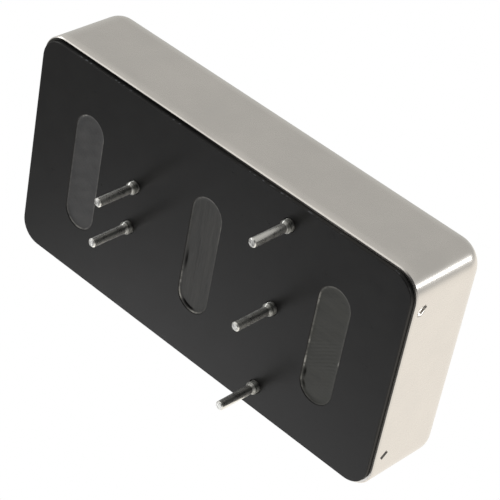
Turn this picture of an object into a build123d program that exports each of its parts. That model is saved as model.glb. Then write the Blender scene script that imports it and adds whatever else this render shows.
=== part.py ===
# Potted dc-dc converter module for a printed board: a drawn metal can over a moulded base plate,
# five shouldered pins, and a small circuit board whose parts are cast in epoxy.
# Millimetres. +Z is up, away from the customer's board, and the pins point down.
# The origin is the centre of the base plate's outer face. The input end is at -X.

import os
from build123d import *

# Drawn can
can_length = 52.0
can_width = 26.5
can_height = 10.4
can_wall = 0.35
can_corner_radius = 2.9
can_lid_radius = 2.2
can_bend_slope = 1.3
rim_chamfer = 0.12

# Stake marks: slanted punch marks that push the can's end walls into the base plate
stake_length = 1.0
stake_breadth = 0.55
stake_turn = 52.0
stake_depth = 0.3
stake_taper = 32.0
stake_swelling = 0.1
stake_above_rim = 1.2
stake_spread = 18.2
stake_shift = 0.45
stake_clearance = 0.06

# Base plate
plate_proud = 0.5
plate_floor = 1.6
plate_clearance = 0.04
plate_edge_chamfer = 0.06
lip_height = 1.0
lip_width = 1.0
mouth_chamfer = 0.12

# Filling slots
slot_count = 3
slot_spacing = 17.4
slot_length = 14.0
slot_width = 4.0
slot_fill_recess = 0.3

# Pins on the 2.54 mm grid
grid = 2.54
column_spacing = 8 * grid
input_spacing = 2 * grid
output_spacing = 4 * grid
pin_diameter = 1.0
pin_reach = 5.2
pin_tip_chamfer = 0.12
shoulder_diameter = 1.4
shoulder_proud = 0.5
shoulder_cone = 0.3
pin_hole_clearance = 0.1
pin_tail = 0.6
pin_land_radius = 1.0

# Circuit board, seated on the base plate's lip
board_seat = 0.35
board_thickness = 1.0
board_corner_clip = 1.3
flow_notch_depth = 1.2
flow_notch_width = 2.4

# Transformer: a pair of ferrite halves with straight posts, wound about Z
core_depth = 5.6
core_post = 3.6
core_leg = 1.8
core_half_height = 3.05
core_back = 1.35
winding_window = 3.6
bobbin_wall = 0.4
bobbin_flange = 0.35
bobbin_fit = 0.1
primary_build = 1.3
secondary_build = 1.3
winding_rounding = 2.3
rail_width = 2.4
rail_length = 9.0
terminal_count = 4
terminal_spacing = 2.2
terminal_width = 0.6
terminal_thickness = 0.25
terminal_rise = 0.8
terminal_foot = 0.9

# Moulded chokes with a strap terminal at each end, as long as the output row has room for
choke_width = 5.2
choke_height = 3.0
choke_chamfer = 0.4
strap_width = 2.4
strap_thickness = 0.2
strap_rise = 1.5

# Moulded semiconductors
lead_thickness = 0.2
lead_foot = 0.6
lead_slope = 0.45
lead_rooting = 0.3
package_standoff = 0.1
package_draft = 6.0
transistor_body = (6.5, 4.6, 2.2)
control_body = (4.9, 3.9, 1.5)
optocoupler_body = (2.8, 4.4, 2.0)
reference_body = (2.9, 1.3, 1.0)
rectifier_body = (3.6, 4.3, 2.2)
control_lead_spacing = 1.27
control_lead_width = 0.42
optocoupler_lead_spacing = 1.27
optocoupler_lead_width = 0.4
reference_lead_spacing = 1.9
reference_lead_width = 0.4
transistor_lead_spacing = 4.6
transistor_lead_width = 0.8
transistor_tab_width = 5.2
rectifier_lead_width = 2.0

# Chip parts, as length, width and height
cap_lip = 0.04
cap_length = 0.4
input_capacitor_size = (4.5, 3.2, 2.2)
output_capacitor_size = (3.5, 2.8, 1.9)
sense_resistor_size = (6.3, 3.2, 0.6)
small_resistor_size = (1.6, 0.8, 0.45)
small_capacitor_size = (1.6, 0.8, 0.75)
small_part_row = 8.6
small_part_spacing = 4.2

# Clear distance between neighbours on the board
part_gap = 0.5

# Worked out from the above: heights
rim_z = plate_proud
lip_top = plate_floor + lip_height
board_bottom = lip_top
board_top = board_bottom + board_thickness
core_top = board_top + 2 * core_half_height
bobbin_bottom = board_top + core_back
bobbin_top = core_top - core_back - bobbin_fit
coil_bottom = bobbin_bottom + bobbin_flange
coil_top = bobbin_top - bobbin_flange

# Outlines
plate_inset = can_wall + plate_clearance
tray_inset = plate_inset + lip_width
board_inset = tray_inset - board_seat
board_length = can_length - 2 * board_inset
board_width = can_width - 2 * board_inset
pin_radius = pin_diameter / 2
shoulder_radius = shoulder_diameter / 2
pin_hole_radius = shoulder_radius + pin_hole_clearance
core_span = core_post + 2 * winding_window + 2 * core_leg
tube_outer = bobbin_fit + bobbin_wall
primary_outer = tube_outer + primary_build
secondary_outer = primary_outer + secondary_build
flange_outer = winding_window - bobbin_fit
rail_outer = core_depth / 2 + flange_outer
transformer_reach = rail_outer + terminal_foot

# Pin places
input_x = -column_spacing / 2
output_x = column_spacing / 2
pin_places = {
    "input_positive_pin": (input_x, input_spacing / 2),
    "input_negative_pin": (input_x, -input_spacing / 2),
    "output_positive_pin": (output_x, output_spacing),
    "output_common_pin": (output_x, 0),
    "output_negative_pin": (output_x, -output_spacing),
}


def lead_reach(body):
    """How far a package's leads reach from its centre line."""
    return body[1] / 2 + lead_slope + lead_foot


# Places on the board: each part is one clear gap from its neighbour, from a pin or from the board's edge
beside_core = core_span / 2 + part_gap
beside_pins = input_spacing / 2 + pin_land_radius + part_gap
beside_notch = board_length / 2 - flow_notch_depth - part_gap

control_place = (input_x - control_body[0] / 2, beside_pins + lead_reach(control_body))
transistor_place = (input_x - transistor_body[0] / 3, -beside_pins - lead_reach(transistor_body))
optocoupler_place = (0, beside_core + optocoupler_body[0] / 2)
reference_place = (
    lead_reach(optocoupler_body) + part_gap + lead_reach(reference_body),
    beside_core + reference_body[0] / 2,
)
sense_resistor_place = (0, -beside_core - sense_resistor_size[1] / 2, 0)

# Output row: rectifier beside the transformer, capacitors at the board's end, and the choke between them
output_part_y = output_spacing / 2
rectifier_x = transformer_reach + part_gap + lead_reach(rectifier_body)
output_capacitor_x = board_length / 2 - part_gap - output_capacitor_size[1] / 2
output_capacitor_y = flow_notch_width / 2 + part_gap + output_capacitor_size[0] / 2
output_capacitor_rows = (output_capacitor_y, output_capacitor_y + output_capacitor_size[0] + part_gap)
choke_start = rectifier_x + lead_reach(rectifier_body) + part_gap + strap_thickness
choke_end = output_capacitor_x - output_capacitor_size[1] / 2 - part_gap - strap_thickness
choke_length = choke_end - choke_start
output_choke_x = (choke_start + choke_end) / 2

# Input row at the board's other end: three capacitors, then the choke
input_capacitor_x = input_capacitor_size[0] / 2 - beside_notch
input_capacitor_spacing = input_capacitor_size[1] + part_gap
first_capacitor_y = part_gap + input_capacitor_size[1] / 2 - board_width / 2
input_capacitor_places = [
    (input_capacitor_x, first_capacitor_y + step * input_capacitor_spacing, 0) for step in range(3)
]
input_choke_place = (
    strap_thickness + choke_length / 2 - beside_notch,
    input_capacitor_places[-1][1] + input_capacitor_size[1] / 2 + part_gap + choke_width / 2,
)

os.makedirs("parts", exist_ok=True)
cast_in = []


def pocket_boxes(part):
    """A plain pocket round each solid of a small part, whose leads the epoxy isn't modelled round."""
    with BuildPart() as pockets:
        for solid in part.solids():
            bounds = solid.bounding_box()
            with Locations(bounds.center()):
                Box(*bounds.size)
    return pockets.part


def keep(piece, label, boxed=False):
    """Label a finished piece, write it and remember the pocket that it takes up in the epoxy."""
    piece.part.label = label
    export_step(piece.part, f"parts/{label}.step")
    cast_in.append(pocket_boxes(piece.part) if boxed else piece.part)


def outline(inset):
    """The can's rounded outline, moved inwards by the inset."""
    RectangleRounded(can_length - 2 * inset, can_width - 2 * inset, can_corner_radius - inset)


def upright_form(bottom, inset):
    """The can's outline drawn from a height up to the lid, with both moved inwards by the inset."""
    with BuildPart() as form:
        with BuildSketch(Plane.XY.offset(bottom)):
            outline(inset)
        extrude(amount=rim_z + can_height - inset - bottom)
    return form


def outer_form():
    """The can's outside, with its rounded lid edge."""
    form = upright_form(rim_z, 0)
    return fillet(form.part.faces().sort_by(Axis.Z)[-1].edges(), radius=can_lid_radius)


def inner_form(bottom):
    """The can's inside above a height. The bend at the lid is a plain slope, hidden by the epoxy."""
    form = upright_form(bottom, can_wall)
    return chamfer(form.part.faces().sort_by(Axis.Z)[-1].edges(), length=can_bend_slope)


def end_wall(side, depth):
    """The plane between an end wall's stake marks, facing inwards, at a depth below the outer face."""
    origin = (side * (can_length / 2 - depth), -stake_shift, rim_z + stake_above_rim)
    return Plane(origin=origin, x_dir=(0, 1, 0), z_dir=(-side, 0, 0))


def stake_marks(growth):
    """The pair of slanted marks on an end wall, grown by a distance all round."""
    with GridLocations(stake_spread, 0, 2, 1):
        Rectangle(stake_length + 2 * growth, stake_breadth + 2 * growth, rotation=stake_turn)


def upright(x, y):
    """The plane through a vertical axis that a turned profile is drawn on, as radius and height."""
    return Plane(origin=(x, y, 0), x_dir=(1, 0, 0), z_dir=(0, -1, 0))


def vertical_axis(x, y):
    """The vertical axis that a profile is turned about."""
    return Axis((x, y, 0), (0, 0, 1))


# Can: a drawn shell, open at the bottom, with its stake marks pressed inwards
drawn_outside = outer_form()
drawn_inside = inner_form(rim_z)
with BuildPart() as can:
    add(drawn_outside)
    add(drawn_inside, mode=Mode.SUBTRACT)
    rim = can.faces().sort_by(Axis.Z)[0]
    chamfer(rim.outer_wire().edges(), length=rim_chamfer)
    for side in (-1, 1):
        with BuildSketch(end_wall(side, can_wall)):
            stake_marks(stake_swelling)
        extrude(amount=stake_depth, taper=stake_taper)
        with BuildSketch(end_wall(side, 0)):
            stake_marks(0)
        extrude(amount=stake_depth, taper=stake_taper, mode=Mode.SUBTRACT)
can.part.label = "can"
export_step(can.part, "parts/can.step")

# Base plate: a shallow moulded tray that stands proud of the rim, with filling slots and pin holes.
# The pin holes are cut as high as the lip, so that a shoulder near the edge also clears that.
with BuildPart() as base_plate:
    with BuildSketch(Plane.XY):
        outline(plate_inset)
    extrude(amount=lip_top)
    chamfer(base_plate.faces().sort_by(Axis.Z)[0].edges(), length=plate_edge_chamfer)
    with BuildSketch(Plane.XY.offset(plate_floor)):
        outline(tray_inset)
    extrude(amount=lip_height, mode=Mode.SUBTRACT)
    with BuildSketch(Plane.XY):
        with GridLocations(slot_spacing, 0, slot_count, 1):
            SlotOverall(slot_length, slot_width, rotation=90)
    extrude(amount=plate_floor, mode=Mode.SUBTRACT)
    mouths = base_plate.faces().sort_by(Axis.Z)[0].inner_wires()
    chamfer([edge for mouth in mouths for edge in mouth.edges()], length=mouth_chamfer)
    with BuildSketch(Plane.XY):
        with Locations(*pin_places.values()):
            Circle(pin_hole_radius)
    extrude(amount=lip_top, mode=Mode.SUBTRACT)
    for side in (-1, 1):
        with BuildSketch(end_wall(side, can_wall)):
            stake_marks(stake_swelling + stake_clearance)
        extrude(amount=stake_depth + stake_clearance, mode=Mode.SUBTRACT)
base_plate.part.label = "base_plate"
export_step(base_plate.part, "parts/base_plate.step")


def make_pin(label, x, y):
    """A turned pin: chamfered tip, shank, conical step to the shoulder, and a tail through the board."""
    with BuildPart() as pin:
        with BuildSketch(upright(x, y)):
            with BuildLine():
                Polyline(
                    (0, -pin_reach),
                    (pin_radius - pin_tip_chamfer, -pin_reach),
                    (pin_radius, -pin_reach + pin_tip_chamfer),
                    (pin_radius, -shoulder_proud - shoulder_cone),
                    (shoulder_radius, -shoulder_proud),
                    (shoulder_radius, board_bottom),
                    (pin_radius, board_bottom),
                    (pin_radius, board_top + pin_tail),
                    (0, board_top + pin_tail),
                    close=True,
                )
            make_face()
        revolve(axis=vertical_axis(x, y))
    keep(pin, label)


for pin_name, (pin_x, pin_y) in pin_places.items():
    make_pin(pin_name, pin_x, pin_y)

# Circuit board: clipped corners, holes that hug the pins' tails, and end notches for the epoxy to pass
with BuildPart() as circuit_board:
    with BuildSketch(Plane.XY.offset(board_bottom)) as board_outline:
        Rectangle(board_length, board_width)
        chamfer(board_outline.vertices(), length=board_corner_clip)
        with GridLocations(board_length, 0, 2, 1):
            Rectangle(2 * flow_notch_depth, flow_notch_width, mode=Mode.SUBTRACT)
        with Locations(*pin_places.values()):
            Circle(pin_radius, mode=Mode.SUBTRACT)
    extrude(amount=board_thickness)
keep(circuit_board, "circuit_board")


def core_half(label, back):
    """One ferrite half: a block with the winding window cut across it on each side of the post."""
    with BuildPart() as half:
        with BuildSketch(back):
            Rectangle(core_depth, core_span)
        extrude(amount=core_half_height)
        with BuildSketch(back.offset(core_back)):
            Rectangle(core_depth, core_span - 2 * core_leg)
            Rectangle(core_depth, core_post, mode=Mode.SUBTRACT)
        extrude(amount=core_half_height - core_back, mode=Mode.SUBTRACT)
    keep(half, label)


core_half("transformer_core_lower", Plane.XY.offset(board_top))
core_half("transformer_core_upper", Plane(origin=(0, 0, core_top), x_dir=(1, 0, 0), z_dir=(0, 0, -1)))


def post_outline(distance, mode=Mode.ADD):
    """The middle post's outline, grown by a distance all round."""
    Rectangle(core_depth + 2 * distance, core_post + 2 * distance, mode=mode)


# Bobbin: a square tube round the middle post, with two flanges and a rail under each end
with BuildPart() as transformer_bobbin:
    with BuildSketch(Plane.XY.offset(bobbin_bottom), Plane.XY.offset(coil_top)):
        post_outline(flange_outer)
    extrude(amount=bobbin_flange)
    with BuildSketch(Plane.XY.offset(bobbin_bottom)):
        post_outline(tube_outer)
    extrude(amount=bobbin_top - bobbin_bottom)
    with BuildSketch(Plane.XY.offset(bobbin_bottom)):
        post_outline(bobbin_fit)
    extrude(amount=bobbin_top - bobbin_bottom, mode=Mode.SUBTRACT)
    with BuildSketch(Plane.XY.offset(board_top)):
        with GridLocations(2 * rail_outer - rail_width, 0, 2, 1):
            Rectangle(rail_width, rail_length)
    extrude(amount=core_back)
keep(transformer_bobbin, "transformer_bobbin")

# Terminals: bent strips at the outer face of each rail
with BuildPart() as transformer_terminals:
    for side in (-1, 1):
        for place in GridLocations(0, terminal_spacing, 1, terminal_count):
            origin = (side * rail_outer, place.position.Y, board_top)
            with BuildSketch(Plane(origin=origin, x_dir=(side, 0, 0), z_dir=(0, -side, 0))):
                with BuildLine():
                    Polyline(
                        (0, 0),
                        (terminal_foot, 0),
                        (terminal_foot, terminal_thickness),
                        (terminal_thickness, terminal_thickness),
                        (terminal_thickness, terminal_rise),
                        (0, terminal_rise),
                        close=True,
                    )
                make_face()
            extrude(amount=terminal_width / 2, both=True)
keep(transformer_terminals, "transformer_terminals", boxed=True)


# Windings: the primary lies tight on the square tube, and the secondary round it has rounded corners
with BuildPart() as primary_winding:
    with BuildSketch(Plane.XY.offset(coil_bottom)):
        post_outline(primary_outer)
        post_outline(tube_outer, mode=Mode.SUBTRACT)
    extrude(amount=coil_top - coil_bottom)
keep(primary_winding, "primary_winding")

coil_length = core_depth + 2 * secondary_outer
coil_width = core_post + 2 * secondary_outer
with BuildPart() as secondary_winding:
    with BuildSketch(Plane.XY.offset(coil_bottom)):
        RectangleRounded(coil_length, coil_width, winding_rounding)
        post_outline(primary_outer, mode=Mode.SUBTRACT)
    extrude(amount=coil_top - coil_bottom)
keep(secondary_winding, "secondary_winding")


def moulded_choke(label, x, y):
    """A moulded choke: a pressed block with a strap terminal up each end."""
    base = Plane((x, y, board_top))
    with BuildPart() as choke:
        with BuildSketch(base):
            Rectangle(choke_length, choke_width)
        extrude(amount=choke_height)
        chamfer(choke.faces().sort_by(Axis.Z)[-1].edges(), length=choke_chamfer)
        with BuildSketch(base):
            with GridLocations(choke_length + strap_thickness, 0, 2, 1):
                Rectangle(strap_thickness, strap_width)
        extrude(amount=strap_rise)
    keep(choke, label)


def moulded_package(label, place, turn, body, front_leads, back_leads):
    """A moulded semiconductor with bent leads; leads are (offset, width) pairs along each long side.

    The body is its size along the row of leads, its size across it, and its height.
    """
    along, across, height = body
    base = Plane(origin=(*place, board_top), z_dir=(0, 0, 1)).rotated((0, 0, turn))
    exit_height = package_standoff + height / 2
    with BuildPart() as package:
        with BuildSketch(base.offset(package_standoff)):
            Rectangle(along, across)
        extrude(amount=height, taper=package_draft)
        for side, leads in ((-1, front_leads), (1, back_leads)):
            for offset_along, lead_width in leads:
                root = base.from_local_coords(Vector(offset_along, 0, 0))
                with BuildSketch(Plane(origin=root, x_dir=base.y_dir * side, z_dir=base.x_dir * side)):
                    with BuildLine():
                        Polyline(
                            (across / 2 - lead_rooting, exit_height),
                            (across / 2 + lead_slope / 2, exit_height),
                            (across / 2 + lead_slope, lead_thickness / 2),
                            (lead_reach(body), lead_thickness / 2),
                        )
                    trace(line_width=lead_thickness)
                extrude(amount=lead_width / 2, both=True)
    keep(package, label, boxed=True)


def chip_parts(label, places, size, face, plated=True):
    """A group of chip parts on one face of the board: bodies whose plated ends stand out a little.

    Each place is (x, y, turn), and the face is its plane, facing away from the board.
    The smallest parts are plain blocks.
    """
    chip_length, chip_width, chip_height = size
    lip = cap_lip if plated else 0
    with BuildPart() as chips:
        for x, y, turn in places:
            base = Plane(origin=(x, y, face.origin.Z), x_dir=(1, 0, 0), z_dir=face.z_dir)
            base = base.rotated((0, 0, turn))
            with BuildSketch(base):
                Rectangle(chip_length, chip_width - 2 * lip)
            extrude(amount=chip_height - lip)
            if plated:
                with BuildSketch(base):
                    with GridLocations(chip_length - cap_length, 0, 2, 1):
                        Rectangle(cap_length, chip_width)
                extrude(amount=chip_height)
    keep(chips, label, boxed=True)


moulded_choke("input_choke", *input_choke_place)
moulded_choke("positive_choke", output_choke_x, output_part_y)
moulded_choke("negative_choke", output_choke_x, -output_part_y)

control_leads = [(control_lead_spacing * step, control_lead_width) for step in (-1.5, -0.5, 0.5, 1.5)]
coupler_leads = [(optocoupler_lead_spacing * step, optocoupler_lead_width) for step in (-0.5, 0.5)]
power_leads = [(transistor_lead_spacing * step, transistor_lead_width) for step in (-0.5, 0.5)]
power_tab = [(0, transistor_tab_width)]
pair = [(reference_lead_spacing * step, reference_lead_width) for step in (-0.5, 0.5)]
single = [(0, reference_lead_width)]
rectifier_lead = [(0, rectifier_lead_width)]
moulded_package("control_chip", control_place, 0, control_body, control_leads, control_leads)
moulded_package("switching_transistor", transistor_place, 0, transistor_body, power_leads, power_tab)
moulded_package("optocoupler", optocoupler_place, 90, optocoupler_body, coupler_leads, coupler_leads)
moulded_package("voltage_reference", reference_place, 90, reference_body, pair, single)
for side, label in ((1, "positive_rectifier"), (-1, "negative_rectifier")):
    place = (rectifier_x, side * output_part_y)
    moulded_package(label, place, 90, rectifier_body, rectifier_lead, rectifier_lead)

top_face = Plane.XY.offset(board_top)
under_face = Plane(origin=(0, 0, board_bottom), x_dir=(1, 0, 0), z_dir=(0, 0, -1))
small_part_steps = (-1.5, -0.5, 0.5, 1.5)
chip_parts("input_capacitors", input_capacitor_places, input_capacitor_size, top_face)
chip_parts("current_sense_resistor", [sense_resistor_place], sense_resistor_size, top_face)
for side, label in ((1, "positive_output_capacitors"), (-1, "negative_output_capacitors")):
    capacitor_places = [(output_capacitor_x, side * y, 90) for y in output_capacitor_rows]
    chip_parts(label, capacitor_places, output_capacitor_size, top_face)
resistor_places = [(small_part_spacing * step, small_part_row, 0) for step in small_part_steps]
capacitor_places = [(small_part_spacing * step, -small_part_row, 0) for step in small_part_steps]
chip_parts("chip_resistors", resistor_places, small_resistor_size, under_face, plated=False)
chip_parts("chip_capacitors", capacitor_places, small_capacitor_size, under_face, plated=False)

# Potting: epoxy that fills the can above the base plate and comes down into its slots
filling = inner_form(lip_top)
with BuildPart() as potting:
    add(filling)
    with BuildSketch(Plane.XY.offset(plate_floor)):
        outline(tray_inset)
    extrude(amount=lip_height)
    with BuildSketch(Plane.XY.offset(slot_fill_recess)):
        with GridLocations(slot_spacing, 0, slot_count, 1):
            SlotOverall(slot_length, slot_width, rotation=90)
    extrude(amount=plate_floor - slot_fill_recess)
    with BuildSketch(Plane.XY.offset(bobbin_bottom)):
        post_outline(winding_window)
    extrude(amount=core_top - core_back - bobbin_bottom, mode=Mode.SUBTRACT)
    add(cast_in, mode=Mode.SUBTRACT)
potting.part.label = "potting"
export_step(potting.part, "parts/potting.step")
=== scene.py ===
"""Looks of a potted dc-dc converter module: nickel can, black base plate, epoxy in its slots, bright pins."""

from collections import namedtuple

import bmesh
import bpy
import numpy as np
from mathutils import Matrix, Vector


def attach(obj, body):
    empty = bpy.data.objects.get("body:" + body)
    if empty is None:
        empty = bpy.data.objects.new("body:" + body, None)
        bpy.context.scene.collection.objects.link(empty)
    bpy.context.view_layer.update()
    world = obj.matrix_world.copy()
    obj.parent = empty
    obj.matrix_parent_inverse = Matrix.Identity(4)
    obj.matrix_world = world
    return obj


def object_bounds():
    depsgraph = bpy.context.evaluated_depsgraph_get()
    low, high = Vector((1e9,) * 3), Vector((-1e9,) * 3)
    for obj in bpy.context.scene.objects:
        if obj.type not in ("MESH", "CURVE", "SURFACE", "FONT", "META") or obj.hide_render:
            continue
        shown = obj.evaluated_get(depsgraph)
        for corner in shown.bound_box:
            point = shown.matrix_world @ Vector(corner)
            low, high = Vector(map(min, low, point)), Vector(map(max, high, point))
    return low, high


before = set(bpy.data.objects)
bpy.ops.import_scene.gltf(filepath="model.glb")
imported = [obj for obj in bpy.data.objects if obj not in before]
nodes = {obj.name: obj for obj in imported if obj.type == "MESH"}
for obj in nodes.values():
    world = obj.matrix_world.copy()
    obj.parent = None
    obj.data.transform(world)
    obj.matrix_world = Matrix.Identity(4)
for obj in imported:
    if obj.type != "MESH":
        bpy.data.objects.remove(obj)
cad_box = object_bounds()

# Places on the part, in millimetres from the centre of the base plate's outer face
MM = 0.001
END_WALL, SIDE_WALL = (value / MM for value in cad_box[1][:2])
PIN_TIP = cad_box[0][2] / MM
RIM = 0.5

# The stake pockets lie between two heights, and none reaches further sideways than the outermost place.
# A dent is beside one of them.
STAKE_HEIGHTS = (0.9, 2.5)
STAKE_OUTERMOST = 10.15
DENT = (END_WALL, -9.36, 1.50)
DENT_REACH = 0.62
DENT_TILT = 860.0

# Scale along the axes for a pattern that isn't stretched, and what a finish is made of
PLAIN = (1.0, 1.0, 1.0)
Finish = namedtuple("Finish", "material tree shader grain")


# Shader building

def put(tree, kind, settings=None, **inputs):
    """Adds a shader node, sets its plain settings, and sets or links each named input."""
    made = tree.nodes.new(kind)
    for key, value in (settings or {}).items():
        setattr(made, key, value)
    for key, value in inputs.items():
        numbered = key[0] == "i" and key[1:].isdigit()
        socket = made.inputs[int(key[1:]) if numbered else key.replace("_", " ")]
        if isinstance(value, bpy.types.NodeSocket):
            tree.links.new(value, socket)
        else:
            socket.default_value = value
    return made


def calc(tree, operation, a, b=0.0, clamp=False):
    """One Math node's value."""
    return put(tree, "ShaderNodeMath", {"operation": operation, "use_clamp": clamp}, i0=a, i1=b).outputs[0]


def product(tree, first, *others):
    """Masks or values multiplied together."""
    for other in others:
        first = calc(tree, "MULTIPLY", first, other)
    return first


def total(tree, first, *others):
    """Values added together."""
    for other in others:
        first = calc(tree, "ADD", first, other)
    return first


def size_of(tree, value):
    """A value without its sign."""
    return calc(tree, "ABSOLUTE", value)


def remap(tree, value, low, high, to_low=0.0, to_high=1.0, smooth=False):
    """A value carried from one range to another and held at its ends."""
    kind = {"interpolation_type": "SMOOTHSTEP" if smooth else "LINEAR"}
    return put(tree, "ShaderNodeMapRange", kind, i0=value, i1=low, i2=high, i3=to_low, i4=to_high).outputs[0]


def span(tree, value, low, high, soft):
    """1 where a value lies between two levels, with soft ends."""
    above = remap(tree, value, low - soft, low, 0.0, 1.0, smooth=True)
    below = remap(tree, value, high, high + soft, 1.0, 0.0, smooth=True)
    return product(tree, above, below)


def spot(tree, at, centre, reach):
    """1 at a point, falling smoothly to 0 at a distance."""
    gap = put(tree, "ShaderNodeVectorMath", {"operation": "DISTANCE"}, i0=at, i1=centre).outputs["Value"]
    return remap(tree, gap, reach * 0.7, reach, 1.0, 0.0, smooth=True)


def noise(tree, at, scale, detail=2.0):
    """A noise texture's value, which lies round 0.5."""
    return put(tree, "ShaderNodeTexNoise", None, Vector=at, Scale=scale, Detail=detail).outputs[0]


def blend_colour(tree, share, low, high):
    """Two colours mixed by a share."""
    mixed = put(tree, "ShaderNodeMix", {"data_type": "RGBA"}, i0=share)
    for index, value in ((6, low), (7, high)):
        if isinstance(value, bpy.types.NodeSocket):
            tree.links.new(value, mixed.inputs[index])
        else:
            mixed.inputs[index].default_value = (*value, 1.0)
    return mixed.outputs[2]


def object_vector(tree, stretch=PLAIN):
    """Object coordinates, scaled along the axes."""
    at = put(tree, "ShaderNodeTexCoord").outputs["Object"]
    return put(tree, "ShaderNodeMapping", {"vector_type": "POINT"}, Vector=at, Scale=stretch).outputs[0]


def coordinates(tree, at):
    """The three coordinates of a vector."""
    return put(tree, "ShaderNodeSeparateXYZ", None, Vector=at).outputs


def feeding(shader, socket):
    """What feeds one of a shader's sockets."""
    return shader.inputs[socket].links[0].from_socket


def feed(tree, value, shader, socket):
    """Links a value or a colour to one of a shader's sockets."""
    tree.links.new(value, shader.inputs[socket])


# Shader groups

def new_group(name, takes, gives):
    """An empty shader group with one vector input, named number inputs and number outputs."""
    group = bpy.data.node_groups.new(name, "ShaderNodeTree")
    group.interface.new_socket("Vector", in_out="INPUT", socket_type="NodeSocketVector")
    for label in takes:
        group.interface.new_socket(label, in_out="INPUT", socket_type="NodeSocketFloat")
    for label in gives:
        group.interface.new_socket(label, in_out="OUTPUT", socket_type="NodeSocketFloat")
    return group, group.nodes.new("NodeGroupInput").outputs, group.nodes.new("NodeGroupOutput").inputs


def build_grain():
    """Grain: clouds at a coarse scale, grains at a fine one, and a tone that mixes the two by a share."""
    group, given, out = new_group("surface grain", ("Coarse", "Fine", "Share"), ("Tone", "Clouds", "Grains"))
    clouds = noise(group, given["Vector"], given["Coarse"], 4.0)
    grains = noise(group, given["Vector"], given["Fine"], 2.0)
    high = product(group, grains, given["Share"])
    low = product(group, clouds, calc(group, "SUBTRACT", 1.0, given["Share"]))
    group.links.new(remap(group, total(group, high, low), 0.3, 0.7), out["Tone"])
    group.links.new(clouds, out["Clouds"])
    group.links.new(grains, out["Grains"])
    return group


def build_scratches():
    """Scratches: thin lines where a noise passes its middle value, kept only where a wider noise is high."""
    group, given, out = new_group("fine scratches", ("Scale", "Width"), ("Lines",))
    off = size_of(group, calc(group, "SUBTRACT", noise(group, given["Vector"], given["Scale"], 1.0), 0.5))
    line = remap(group, calc(group, "DIVIDE", off, given["Width"]), 0.0, 1.0, 1.0, 0.0)
    kept = remap(group, noise(group, given["Vector"], product(group, given["Scale"], 0.35)), 0.5, 0.62)
    group.links.new(product(group, line, kept), out["Lines"])
    return group


def build_level_band():
    """Level band: 1 at a height and falling smoothly to 0 one width away from it."""
    group, given, out = new_group("level band", ("Level", "Width"), ("Band",))
    off = size_of(group, calc(group, "SUBTRACT", coordinates(group, given["Vector"])[2], given["Level"]))
    share = calc(group, "DIVIDE", off, given["Width"])
    group.links.new(remap(group, share, 0.0, 1.0, 1.0, 0.0, smooth=True), out["Band"])
    return group


GRAIN, SCRATCHES, LEVEL_BAND = build_grain(), build_scratches(), build_level_band()


def place_group(tree, group, **inputs):
    """A shader group placed in a material with its own values."""
    return put(tree, "ShaderNodeGroup", {"node_tree": group}, **inputs).outputs


# Finishes

def relief_over(tree, shader, height, strength, depth):
    """A further relief laid on the material's own; the depth is in millimetres."""
    below = feeding(shader, "Normal")
    values = {"Strength": strength, "Distance": depth * MM, "Height": height, "Normal": below}
    feed(tree, put(tree, "ShaderNodeBump", None, **values).outputs[0], shader, "Normal")


def grained(name, dark, light, rough, coarse=600.0, fine=9000.0, share=0.4, bump=0.2, depth=0.01,
            metallic=0.0, stretch=PLAIN):
    """A material whose colour, roughness and relief all follow the grain group.

    Its colour runs from dark to light, and its roughness between the two values of rough. Coarse and fine are
    the grain's scales per metre, share is how much of the tone is fine, and the depth is in millimetres.
    """
    material = bpy.data.materials.new(name)
    material.use_nodes = True
    tree = material.node_tree
    shader = tree.nodes["Principled BSDF"]
    shader.inputs["Metallic"].default_value = metallic
    at = object_vector(tree, stretch)
    grain = place_group(tree, GRAIN, Vector=at, Coarse=coarse, Fine=fine, Share=share)
    relief = put(tree, "ShaderNodeBump", None, Strength=bump, Distance=depth * MM, Height=grain["Grains"])
    feed(tree, blend_colour(tree, grain["Tone"], dark, light), shader, "Base Color")
    feed(tree, remap(tree, grain["Tone"], 0.0, 1.0, *rough), shader, "Roughness")
    feed(tree, relief.outputs[0], shader, "Normal")
    return Finish(material, tree, shader, grain)


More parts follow.
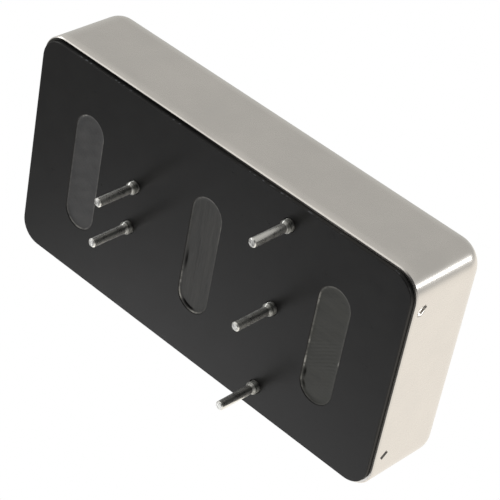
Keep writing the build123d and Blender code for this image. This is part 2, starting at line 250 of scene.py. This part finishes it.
def nickel_plate():
    """Bright nickel over drawn metal: haze, draw lines, a painted highlight along the rim, painted shade in
    the stake pockets and a rim flat darker towards the input end.
    """
    material, tree, shader, grain = grained(
        "nickel_plate", (0.70, 0.68, 0.65), (0.76, 0.735, 0.70), (0.22, 0.30),
        coarse=260.0, fine=14000.0, share=0.35, bump=0.14, depth=0.004, metallic=1.0,
    )
    at = object_vector(tree)
    x, y, z = coordinates(tree, at)

    # Draw lines, light scratches, and a band along the rim of the long sides that is a painted highlight in
    # patches and rougher there
    upright, level = object_vector(tree, (1.0, 1.0, 0.05)), object_vector(tree, (0.25, 0.9, 1.0))
    lines = place_group(tree, SCRATCHES, Vector=upright, Scale=5200.0, Width=0.035)
    marks = place_group(tree, SCRATCHES, Vector=level, Scale=1300.0, Width=0.012)
    rim = place_group(tree, LEVEL_BAND, Vector=at, Level=(RIM + 0.05) * MM, Width=1.3 * MM)
    inner, outer = (SIDE_WALL - 0.95) * MM, (SIDE_WALL - 0.10) * MM
    long_side = remap(tree, size_of(tree, y), inner, outer, 0.0, 1.0, smooth=True)
    patches = remap(tree, noise(tree, at, 170.0, 3.0), 0.36, 0.56, 0.35, 1.0)
    # Painted highlight: the rim band of the long sides is lightened in patches
    rim_highlight = product(tree, rim["Band"], patches, long_side)
    worn = total(tree, product(tree, lines["Lines"], 0.05), product(tree, marks["Lines"], 0.1))
    rough = total(tree, feeding(shader, "Roughness"), worn, product(tree, rim_highlight, 0.06))
    colour = blend_colour(tree, rim_highlight, feeding(shader, "Base Color"), (0.90, 0.87, 0.83))

    # Painted shade darkens the stake pockets, which are also rougher, except at a dent beside one of them,
    # which shines
    pocket = product(
        tree,
        span(tree, size_of(tree, x), (END_WALL - 0.40) * MM, (END_WALL - 0.07) * MM, 0.03 * MM),
        span(tree, size_of(tree, y), 0.0, STAKE_OUTERMOST * MM, 0.05 * MM),
        span(tree, z, STAKE_HEIGHTS[0] * MM, STAKE_HEIGHTS[1] * MM, 0.05 * MM),
    )
    dent = spot(tree, at, Vector(DENT) * MM, DENT_REACH * MM)
    pocket_shade_breakup = remap(tree, noise(tree, at, 5200.0), 0.42, 0.54, 0.2, 1.0)
    # Painted shade in the stake pockets, broken up by noise and kept off the dent
    painted_pocket_shade = product(tree, pocket, calc(tree, "SUBTRACT", 1.0, dent), pocket_shade_breakup)
    colour = blend_colour(tree, painted_pocket_shade, colour, (0.50, 0.48, 0.455))
    feed(tree, total(tree, rough, product(tree, painted_pocket_shade, 0.55)), shader, "Roughness")

    # The flat of the rim is darker towards the input end
    rim_flat = span(tree, z, (RIM - 0.1) * MM, (RIM + 0.005) * MM, 0.004 * MM)
    rim_darkening = product(tree, rim_flat, remap(tree, x, 15.0 * MM, -5.0 * MM))
    feed(tree, blend_colour(tree, rim_darkening, colour, (0.10, 0.10, 0.095)), shader, "Base Color")

    relief_over(tree, shader, grain["Clouds"], 0.15, 0.03)
    tilt = product(tree, total(tree, y, -DENT[1] * MM), DENT_TILT)
    relief_over(tree, shader, product(tree, tilt, dent), 1.0, 1.0)
    return material


def black_moulding():
    """Satin black moulding: fine spark texture, clouds of sheen, light scuffs and painted glints along the
    lower edge.
    """
    material, tree, shader, _ = grained(
        "black_moulding", (0.004, 0.004, 0.0045), (0.009, 0.009, 0.009), (0.34, 0.44),
        coarse=420.0, fine=16000.0, share=0.5, bump=0.35, depth=0.008,
    )
    shader.inputs["Specular IOR Level"].default_value = 0.30
    at = object_vector(tree)
    along = object_vector(tree, (0.5, 1.0, 1.0))
    scuffs = place_group(tree, SCRATCHES, Vector=along, Scale=900.0, Width=0.01)
    smoother = product(tree, scuffs["Lines"], 0.12)
    feed(tree, calc(tree, "SUBTRACT", feeding(shader, "Roughness"), smoother), shader, "Roughness")
    # Painted glints: lighter grey spots along the lower edge of the long sides
    edge = place_group(tree, LEVEL_BAND, Vector=at, Level=0.16 * MM, Width=0.15 * MM)
    edge_glint_noise = remap(tree, noise(tree, at, 2400.0, 3.0), 0.52, 0.62)
    places = remap(tree, noise(tree, at, 210.0, 1.0), 0.46, 0.60)
    depth = size_of(tree, coordinates(tree, at)[1])
    outer = span(tree, depth, (SIDE_WALL - 0.45) * MM, SIDE_WALL * MM, 0.02 * MM)
    painted_edge_glints = product(tree, edge_glint_noise, places, edge["Band"], outer)
    colour = blend_colour(tree, painted_edge_glints, feeding(shader, "Base Color"), (0.15, 0.16, 0.18))
    feed(tree, colour, shader, "Base Color")
    return material


def cured_epoxy(name, dark, light, coarse=900.0, stretch=PLAIN):
    """Cured epoxy: dark grey with mottling and tiny pits.

    Its attribute "edge" is above 0 where a pale painted highlight runs along the slot's wall, and below 0 in
    a void, where near black is painted shade.
    """
    material, tree, shader, _ = grained(
        name, dark, light, (0.46, 0.70),
        coarse=coarse, fine=8000.0, share=0.45, bump=0.5, depth=0.02, stretch=stretch,
    )
    shader.inputs["Specular IOR Level"].default_value = 0.35
    at = object_vector(tree)
    cells = put(tree, "ShaderNodeTexVoronoi", None, Vector=at, Scale=2600.0).outputs["Distance"]
    relief_over(tree, shader, remap(tree, cells, 0.06, 0.14, 0.0, 1.0, smooth=True), 0.3, 0.02)
    edge = put(tree, "ShaderNodeAttribute", {"attribute_name": "edge"}).outputs["Fac"]
    breaks = remap(tree, noise(tree, at, 1900.0), 0.38, 0.56, 0.25, 1.0)
    # Painted highlight: a pale line where the attribute is above 0
    pale = product(tree, calc(tree, "MAXIMUM", edge, 0.0), breaks)
    # Painted shade: near black and rougher where the attribute is below 0
    painted_void_shade = calc(tree, "MAXIMUM", product(tree, edge, -1.0), 0.0)
    colour = blend_colour(tree, pale, feeding(shader, "Base Color"), (0.62, 0.61, 0.57))
    feed(tree, blend_colour(tree, painted_void_shade, colour, (0.001, 0.001, 0.001)), shader, "Base Color")
    feed(tree, calc(tree, "ADD", feeding(shader, "Roughness"), painted_void_shade, clamp=True), shader, "Roughness")
    return material


def tinned_pin():
    """Bright drawn pin: gloss stretched along the shank, draw lines, a dull collar darkened with painted
    shade and a matt cut tip.
    """
    material, tree, shader, _ = grained(
        "tinned_pin", (0.80, 0.80, 0.77), (0.90, 0.90, 0.87), (0.24, 0.34),
        coarse=1500.0, fine=12000.0, share=0.4, bump=0.2, depth=0.004, metallic=1.0,
    )
    shader.inputs["Anisotropic"].default_value = 0.8
    shader.inputs["Anisotropic Rotation"].default_value = 0.25
    at = object_vector(tree)
    blotches = noise(tree, object_vector(tree, (0.25, 0.25, 1.0)), 5200.0, 3.0)
    drawn = noise(tree, object_vector(tree, (1.0, 1.0, 0.06)), 4200.0)
    collar = place_group(tree, LEVEL_BAND, Vector=at, Level=-0.30 * MM, Width=0.85 * MM)
    dull = remap(tree, collar["Band"], 0.0, 0.6)
    uneven = remap(tree, blotches, 0.40, 0.60, 0.4, 1.0)
    feed(tree, total(tree, feeding(shader, "Roughness"), product(tree, dull, 0.16)), shader, "Roughness")
    # Painted shade: the collar next to the plate is darkened
    painted_collar_shade = product(tree, dull, uneven)
    colour = blend_colour(tree, painted_collar_shade, feeding(shader, "Base Color"), (0.24, 0.245, 0.23))
    height = coordinates(tree, at)[2]
    tip = span(tree, height, (PIN_TIP - 0.1) * MM, (PIN_TIP + 0.02) * MM, 0.01 * MM)
    cut = product(tree, tip, remap(tree, uneven, 0.4, 1.0, 0.5, 1.0))
    feed(tree, blend_colour(tree, cut, colour, (0.68, 0.68, 0.66)), shader, "Base Color")
    relief_over(tree, shader, blotches, 0.5, 0.012)
    relief_over(tree, shader, drawn, 0.5, 0.02)
    return material


# Finishes of the pieces inside, each with the nodes that wear it
INNER_FINISHES = (
    (["circuit_board"], dict(
        name="green_laminate", dark=(0.010, 0.065, 0.020), light=(0.018, 0.10, 0.032), rough=(0.3, 0.42),
        coarse=500.0, fine=6000.0, share=0.3)),
    (["transformer_core_lower", "transformer_core_upper"], dict(
        name="ground_ferrite", dark=(0.020, 0.020, 0.022), light=(0.050, 0.050, 0.052), rough=(0.5, 0.68),
        coarse=1200.0, share=0.6, bump=0.4)),
    (["transformer_bobbin"], dict(
        name="bobbin_moulding", dark=(0.012, 0.011, 0.011), light=(0.024, 0.022, 0.021), rough=(0.4, 0.5),
        coarse=700.0, share=0.5, depth=0.006)),
    (["transformer_terminals"], dict(
        name="matt_tin", dark=(0.55, 0.55, 0.54), light=(0.68, 0.68, 0.66), rough=(0.35, 0.5),
        coarse=1500.0, share=0.5, depth=0.004, metallic=1.0)),
    (["primary_winding", "secondary_winding"], dict(
        name="enamelled_copper", dark=(0.36, 0.10, 0.03), light=(0.62, 0.22, 0.08), rough=(0.22, 0.36),
        coarse=900.0, share=0.3, bump=0.6, depth=0.03, metallic=1.0, stretch=(0.1, 0.1, 1.0))),
    (["input_choke", "positive_choke", "negative_choke"], dict(
        name="pressed_powder", dark=(0.055, 0.055, 0.058), light=(0.095, 0.095, 0.10), rough=(0.6, 0.75),
        coarse=1500.0, fine=12000.0, share=0.6, bump=0.5, depth=0.012)),
    (["switching_transistor", "control_chip", "optocoupler", "voltage_reference", "positive_rectifier",
      "negative_rectifier"], dict(
        name="package_compound", dark=(0.010, 0.010, 0.010), light=(0.022, 0.022, 0.022), rough=(0.5, 0.62),
        coarse=900.0, fine=15000.0, share=0.6, bump=0.3, depth=0.006)),
    (["current_sense_resistor", "chip_resistors"], dict(
        name="resistor_ceramic", dark=(0.016, 0.018, 0.024), light=(0.035, 0.036, 0.042), rough=(0.35, 0.5),
        coarse=1200.0, depth=0.006)),
    (["input_capacitors", "positive_output_capacitors", "negative_output_capacitors",
      "chip_capacitors"], dict(
        name="capacitor_ceramic", dark=(0.30, 0.19, 0.10), light=(0.42, 0.28, 0.16), rough=(0.5, 0.62),
        coarse=1200.0, depth=0.006)),
)


def dress(names, material):
    """Gives CAD nodes a material."""
    for name in names:
        mesh = nodes[name].data
        mesh.materials.clear()
        mesh.materials.append(material)


dress(["can"], nickel_plate())
dress(["base_plate"], black_moulding())
dress(["potting"], cured_epoxy("cured_epoxy", (0.035, 0.036, 0.036), (0.058, 0.059, 0.058)))
dress([name for name in nodes if name.endswith("_pin")], tinned_pin())
for wearers, looks in INNER_FINISHES:
    dress(wearers, grained(**looks).material)


# Slot fills: the epoxy's own surface in each filling slot, in millimetres from the slot's centre
SLOT_SPACING = 17.4
HALF_STRAIGHT = 5.0

# The fill ends just inside the slot's wall, and its rim spreads into the chamfered mouth
FILL_RADIUS = 1.998
MOUTH_RADIUS = 2.05
FILL_DEPTH = 0.18
FILL_CLIMB = 0.11
FILL_BACK = 0.295
LEAST_THICKNESS = 0.005

# Points round each end, along each straight side, and from the centre line to the wall
END_POINTS = 65
SIDE_POINTS = 159
RINGS = 44

# Rings where the rim spreads, where its painted highlight line starts and is full, and where a void with
# painted shade lies
SPREAD_RING = 0.97
HIGHLIGHT_RINGS = (0.93, 0.97)
VOID_RING = 0.87
VOID_BREADTH = 0.07
VOID_DEPTH = 0.11
VOID_SHADE = 1.4
HIGHLIGHT_EVERYWHERE = 0.05


def surface_piece(name, points, edge, material):
    """A mesh from a closed grid of points, rows by columns by xyz, with the last column joined to the first.

    Each point also carries its edge value, and points that share a place are made one.
    """
    rows, columns = points.shape[:2]
    down, across = np.meshgrid(np.arange(rows - 1), np.arange(columns), indexing="ij")
    beside = (across + 1) % columns
    here, below = down * columns, (down + 1) * columns
    quads = np.stack((here + across, here + beside, below + beside, below + across), -1).reshape(-1, 4)
    mesh = bpy.data.meshes.new(name)
    mesh.from_pydata(points.reshape(-1, 3), [], quads)
    mesh.attributes.new("edge", "FLOAT", "POINT").data.foreach_set("value", edge.ravel().astype(np.float32))
    merged = bmesh.new()
    merged.from_mesh(mesh)
    bmesh.ops.remove_doubles(merged, verts=merged.verts, dist=1e-7)
    merged.to_mesh(mesh)
    merged.free()
    mesh.polygons.foreach_set("use_smooth", np.ones(len(mesh.polygons), bool))
    mesh.materials.append(material)
    mesh.update()
    piece = bpy.data.objects.new(name, mesh)
    bpy.context.scene.collection.objects.link(piece)
    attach(piece, "root")


def near_places(x, y, places):
    """The sum over places of strength times exp of minus the squared distance over the squared reach."""
    near = np.zeros_like(x)
    for place_x, place_y, reach, strength in places:
        near += strength * np.exp(-((x - place_x) ** 2 + (y - place_y) ** 2) / reach ** 2)
    return near


def ramp(value, low, high):
    """0 up to the low value and 1 from the high one, in a straight line between them."""
    return np.clip((value - low) / (high - low), 0.0, 1.0)


def slot_fill(name, centre_x, material, relief, highlight_places, void_places=()):
    """The fill of one obround slot, closed at its back.

    A point is centre line + t * radius * outward direction, with t from 0 at the centre line to 1 at the
    wall. Its depth is the fill's depth, less a climb of t to the power 14 up the wall, plus the slot's own
    relief, plus a void that follows the wall near its own ring round the void places. Two more rows close the
    back. Each place is x, y, reach and strength.
    """
    turn = np.linspace(0.0, np.pi, END_POINTS)
    side = np.linspace(HALF_STRAIGHT, -HALF_STRAIGHT, SIDE_POINTS + 2)[1:-1]
    end, level = np.full_like(turn, HALF_STRAIGHT), np.ones_like(side)
    angle = np.concatenate((turn, np.pi * level, turn + np.pi, 2.0 * np.pi * level))
    along = np.concatenate((end, side, -end, -side))
    out = 1.0 - (1.0 - np.linspace(0.0, 1.0, RINGS)[:, None]) ** 1.5
    radius = FILL_RADIUS + (MOUTH_RADIUS - FILL_RADIUS) * ramp(out, SPREAD_RING, 1.0)
    x = radius * out * np.cos(angle)
    y = along + radius * out * np.sin(angle)
    wall_x, wall_y = FILL_RADIUS * np.cos(angle), along + FILL_RADIUS * np.sin(angle)
    void = np.minimum(near_places(wall_x, wall_y, void_places), 1.0)
    void = void * np.exp(-(((out - VOID_RING) / VOID_BREADTH) ** 2))
    z = FILL_DEPTH - FILL_CLIMB * out ** 14 + relief(x, y) * (1.0 - out ** 6) + VOID_DEPTH * void
    # Painted highlight along the wall near the highlight places, less the void's painted shade
    light = HIGHLIGHT_EVERYWHERE + near_places(wall_x, wall_y, highlight_places)
    edge = np.clip(light * ramp(out, *HIGHLIGHT_RINGS) - VOID_SHADE * void, -1.0, 1.0)
    top = np.stack((x, y, np.minimum(z, FILL_BACK - LEAST_THICKNESS)), -1)
    skirt = np.stack((wall_x, wall_y, np.full_like(wall_x, FILL_BACK)), -1)
    back = np.stack((np.zeros_like(along), along, np.full_like(along, FILL_BACK)), -1)
    points = (np.concatenate((top, skirt[None], back[None])) + (centre_x, 0.0, 0.0)) * MM
    edge = np.concatenate((edge, np.zeros((2, len(angle)))))
    surface_piece(name, points, edge, material)


def mottled(x, y):
    """Low lumps: crossed sines of three wavelengths."""
    broad = 0.012 * np.sin(3.1 * x + 1.3 * y) * np.sin(1.7 * y - 0.8)
    middling = 0.008 * np.sin(4.3 * y + 2.1 * x + 1.0)
    return broad + middling + 0.003 * np.sin(9.1 * x - 3.0 * y) * np.sin(7.3 * y + 2.0 * x)


def streaked(x, y):
    """Sine streaks along the slot, and a bell-shaped groove along it that starts a third of the way down."""
    wide = 0.006 * np.sin(9.0 * x + 0.6 * np.sin(1.1 * y))
    narrow = 0.004 * np.sin(17.0 * x + 1.0 * np.sin(0.7 * y + 1.0))
    start, full = -2.5, -1.833
    groove = 0.035 * np.exp(-(((x + 0.35) / 0.09) ** 2)) * ramp(y, start, full)
    return wide + narrow + groove


def rippled(x, y):
    """Sine ripples that cross the slot at a slant, strongest in its middle, over a low swell."""
    middle = np.exp(-(((y - 0.8) / 2.2) ** 2))
    ripples = 0.008 * middle * np.sin(13.5 * (y + 0.62 * x) + 0.8 * np.sin(1.5 * x + 0.5))
    return ripples + 0.01 * np.sin(2.2 * y + 1.4 * x) + 0.002 * np.sin(16.0 * y + 10.0 * x)


# Each fill takes its relief, the places of its painted highlight along the wall, and any places of voids,
# which get painted shade
slot_fill(
    "input_slot_fill", -SLOT_SPACING,
    cured_epoxy("mottled_epoxy", (0.048, 0.049, 0.052), (0.092, 0.092, 0.094), 620.0),
    mottled,
    [(1.9, -4.5, 2.2, 0.14), (2.0, 2.6, 2.6, 0.16), (0.0, 7.0, 1.6, 0.30), (-1.0, -6.6, 0.4, 0.6)],
)
slot_fill(
    "middle_slot_fill", 0.0,
    cured_epoxy("streaked_epoxy", (0.034, 0.035, 0.035), (0.082, 0.082, 0.080), 1500.0, (1.0, 0.12, 1.0)),
    streaked,
    [(0.0, -7.0, 2.4, 0.16), (2.0, -4.4, 1.6, 0.14), (-2.0, 4.1, 1.3, 0.40), (-1.7, 5.9, 0.7, 0.75),
     (0.4, 7.0, 0.8, 0.6)],
    [(-1.9, 1.4, 1.0, 0.75), (-1.0, 6.75, 0.5, 1.0), (-0.2, 7.0, 0.5, 1.0)],
)
slot_fill(
    "output_slot_fill", SLOT_SPACING,
    cured_epoxy("rippled_epoxy", (0.036, 0.037, 0.034), (0.075, 0.077, 0.071), 1300.0, (0.15, 1.0, 1.0)),
    rippled,
    [(0.0, -7.0, 2.6, 0.10), (-2.0, -4.6, 0.9, 0.5), (-2.0, -1.5, 2.4, 0.16), (-2.0, 0.4, 0.6, 0.4),
     (-2.0, 3.1, 0.8, 0.8), (-1.5, 5.6, 1.0, 0.35), (2.0, 0.9, 0.25, 0.5)],
    [(-1.9, 4.4, 0.5, 0.7), (-1.6, 5.8, 0.4, 0.7)],
)


# Studio: pale floor, soft lights, plain white surround; the floor's reach is in metres
FLOOR_REACH = 1.6
SURROUND_GREY = (0.53, 0.52, 0.50)

# Fields of the surround: direction, cosines where the field starts and is full, and colour
SURROUND_FIELDS = (
    # Dark behind the camera
    ((0.58, -0.66, -0.48), 0.75, 0.90, (0.05, 0.05, 0.05)),
    # Seen in the bend between the lid and the long side
    ((-0.50, 0.20, 0.85), 0.72, 0.96, (0.60, 0.595, 0.57)),
    # Warm light seen in the end wall
    ((0.30, 0.86, 0.42), 0.46, 0.70, (1.06, 1.01, 0.94)),
    # Warm light seen in the rim's chamfer on the end wall
    ((0.70, 0.60, -0.38), 0.80, 0.95, (1.00, 0.96, 0.90)),
    # Dim field seen in the base plate
    ((-0.30, 0.80, -0.52), 0.80, 0.97, (0.20, 0.20, 0.205)),
    # Seen in the rim's chamfer on the long side
    ((-0.42, -0.70, -0.58), 0.962, 0.995, (1.00, 0.98, 0.95)),
)

# Lamps: name, place, the point that it faces, width and height in millimetres, and watts
LAMPS = (
    # Draws the bright line down the can's nearest upright corner
    ("corner_strip", (149.0, -68.0, 156.0), (25.4, -11.9, 4.0), (4.0, 50.0), 0.021),
    # Shades the base plate from one end to the other
    ("low_card", (-38.0, 122.0, -64.0), (6.0, 12.0, 0.0), (130.0, 60.0), 0.042),
    # Draws the streaks along the pins
    ("pin_strip", (-140.0, -78.0, -16.0), (0.0, 0.0, -3.0), (7.0, 40.0), 0.05),
)


def area_light(name, place, towards, size, power):
    """A rectangular light that faces a point and stays out of the picture."""
    light = bpy.data.lights.new(name, "AREA")
    light.shape = "RECTANGLE"
    light.size, light.size_y = size[0] * MM, size[1] * MM
    light.energy = power
    lamp = bpy.data.objects.new(name, light)
    lamp.location = Vector(place) * MM
    lamp.visible_camera = False
    lamp.rotation_euler = (Vector(towards) * MM - lamp.location).to_track_quat("-Z", "Y").to_euler()
    bpy.context.scene.collection.objects.link(lamp)


def pale_floor(level):
    """A wide pale floor that only shows from above, so that the pin side can be seen and lit from below."""
    mesh = bpy.data.meshes.new("floor")
    corners = [(x * FLOOR_REACH, y * FLOOR_REACH, level) for x, y in ((-1, -1), (1, -1), (1, 1), (-1, 1))]
    mesh.from_pydata(corners, [], [(0, 1, 2, 3)])
    material = bpy.data.materials.new("pale_floor")
    material.use_nodes = True
    tree = material.node_tree
    shader = tree.nodes["Principled BSDF"]
    shader.inputs["Roughness"].default_value = 0.7
    shader.inputs["Base Color"].default_value = (0.86, 0.86, 0.85, 1.0)
    clear = put(tree, "ShaderNodeBsdfTransparent")
    under = put(tree, "ShaderNodeNewGeometry").outputs["Backfacing"]
    mixed = put(tree, "ShaderNodeMixShader", None, i0=under, i1=shader.outputs[0], i2=clear.outputs[0])
    tree.links.new(mixed.outputs[0], tree.nodes["Material Output"].inputs["Surface"])
    mesh.materials.append(material)
    floor = bpy.data.objects.new("floor", mesh)
    bpy.context.scene.collection.objects.link(floor)
    for ray in ("visible_shadow", "visible_diffuse", "visible_glossy", "visible_transmission"):
        setattr(floor, ray, False)


def studio_surround():
    """White where the camera looks past the object; grey with soft fields of light and shade elsewhere.

    A field is full where a direction lies near its own, and falls smoothly to 0 between its two cosines.
    """
    world = bpy.data.worlds.new("studio")
    world.use_nodes = True
    tree = world.node_tree
    tree.nodes.clear()
    towards = put(tree, "ShaderNodeTexCoord").outputs["Generated"]
    colour = SURROUND_GREY
    for direction, start, full, field in SURROUND_FIELDS:
        cosine = put(tree, "ShaderNodeVectorMath", {"operation": "DOT_PRODUCT"}, i0=towards, i1=direction)
        share = remap(tree, cosine.outputs["Value"], start, full, 0.0, 1.0, smooth=True)
        colour = blend_colour(tree, share, colour, field)
    soft = put(tree, "ShaderNodeBackground", None, Color=colour, Strength=1.0)
    white = put(tree, "ShaderNodeBackground", None, Color=(1.0, 1.0, 1.0, 1.0), Strength=1.0)
    seen = put(tree, "ShaderNodeLightPath").outputs["Is Camera Ray"]
    mixed = put(tree, "ShaderNodeMixShader", None, i0=seen, i1=soft.outputs[0], i2=white.outputs[0])
    out = put(tree, "ShaderNodeOutputWorld")
    tree.links.new(mixed.outputs[0], out.inputs["Surface"])
    bpy.context.scene.world = world


# Camera at the photograph's viewpoint: its place and lens in millimetres, the directions of the picture's
# right, up and back, and its upward shift as a share of the picture's width
CAMERA_PLACE = (104.49, -119.76, -128.39)
CAMERA_AXES = ((0.709, -0.1604, 0.6868), (-0.5027, -0.7979, 0.3326), (0.4946, -0.5811, -0.6463))
SENSOR_WIDTH = 36.0
FOCAL_LENGTH = 145.44
UPWARD_SHIFT = 0.0066


def photo_camera():
    """A long lens that looks up at the pin side from the front right."""
    data = bpy.data.cameras.new("camera")
    data.sensor_width = SENSOR_WIDTH
    data.lens = FOCAL_LENGTH
    data.shift_y = UPWARD_SHIFT
    data.clip_start, data.clip_end = 0.005, 20.0
    camera = bpy.data.objects.new("camera", data)
    turned = Matrix(CAMERA_AXES).transposed().to_4x4()
    camera.matrix_world = Matrix.Translation(Vector(CAMERA_PLACE) * MM) @ turned
    bpy.context.scene.collection.objects.link(camera)
    bpy.context.scene.camera = camera


studio_surround()
pale_floor(cad_box[0][2])
for lamp_values in LAMPS:
    area_light(*lamp_values)
photo_camera()
bpy.context.scene.view_settings.view_transform = "Standard"
